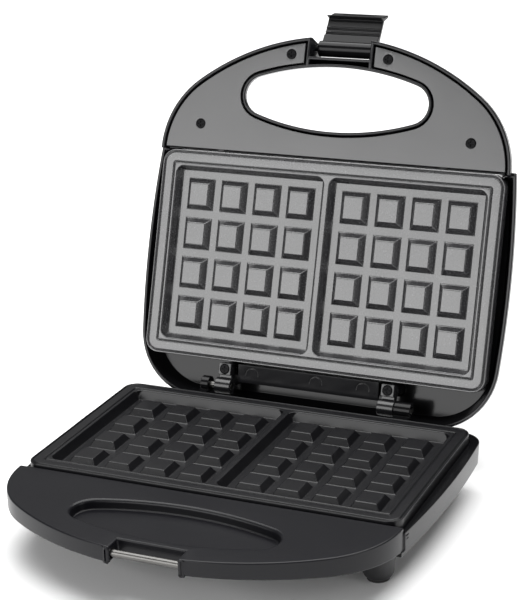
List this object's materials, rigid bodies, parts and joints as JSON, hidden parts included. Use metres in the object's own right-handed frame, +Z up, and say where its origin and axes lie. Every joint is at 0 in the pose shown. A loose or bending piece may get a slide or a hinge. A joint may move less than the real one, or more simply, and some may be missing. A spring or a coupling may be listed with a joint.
{
  "type": "waffle maker",
  "caption": "Hinged electric waffle maker shown open, with gridded cooking plates, half-moon handles with finger openings, a swinging front latch and short feet.",
  "frame": {"origin": "on the worktop, under the middle of the bounding box of the open waffle maker", "axes": "+Z up, +X to the right seen from the handle side, -Y towards the user and the handles, +Y towards the hinge and the open lid"},
  "size_m": [0.2308, 0.3147, 0.2477],
  "materials": {
    "gloss_black": "glossy moulded black",
    "matte_black": "matt moulded black",
    "dark_grey": "satin dark grey",
    "mid_grey": "satin mid grey",
    "lid_rim_grey": "satin grey, glossy between the hinges",
    "hinge_grey": "light grey cast block",
    "nonstick_dark": "cast, dark non-stick coating",
    "nonstick_grey": "cast, grey non-stick coating",
    "steel": "drawn steel",
    "black_steel": "black screw steel",
    "heater_steel": "oxidised heater sheath",
    "tray_steel": "bright folded sheet",
    "ceramic": "unglazed",
    "lead_sleeve": "silicone sleeve",
    "pad_rubber": "matt",
    "red_lens": "clear red",
    "green_lens": "clear green",
    "lamp_glass": "clear"
  },
  "bodies": {
    "base": {"base_housing": "gloss_black", "bottom_cover": "matte_black", "base_handle_cover": "dark_grey", "catch_bar": "steel", "lower_cooking_plate": "nonstick_dark", "lower_heating_element": "heater_steel", "lower_heat_reflector": "tray_steel", "thermostat": "ceramic", "thermal_fuse": "ceramic", "terminal_block": "ceramic", "base_leads": "lead_sleeve", "cord_gland": "matte_black", "front_feet": "matte_black", "rear_feet": "matte_black", "foot_pads": "pad_rubber", "foot_screws": "steel", "base_handle_screws": "black_steel", "lower_plate_screws": "steel", "base_hinge_brackets": "gloss_black", "base_hinge_screws": "black_steel", "hinge_pins": "steel"},
    "lid": {"lid_frame": "lid_rim_grey", "lid_cap": "gloss_black", "lid_handle_cover": "mid_grey", "lid_handle_screws": "black_steel", "upper_cooking_plate": "nonstick_grey", "upper_plate_screws": "steel", "upper_heating_element": "heater_steel", "upper_heat_reflector": "tray_steel", "lid_rear_panel": "lid_rim_grey", "lid_hinge_brackets": "hinge_grey", "lid_hinge_screws": "black_steel", "power_lens": "red_lens", "ready_lens": "green_lens", "indicator_lamps": "lamp_glass", "latch_pin": "steel"},
    "latch": {"latch": "gloss_black"}
  },
  "joints": [
    {"name": "lid_hinge", "type": "hinge", "parent": "base", "child": "lid", "pos_m": [0, 0.05356, 0.0374], "axis": [1, 0, 0], "range_deg": [0, 108.6]},
    {"name": "latch_hinge", "type": "hinge", "parent": "lid", "child": "latch", "pos_m": [0, 0.13235, 0.2295], "axis": [1, 0, 0], "range_deg": [0, 109]}
  ]
}
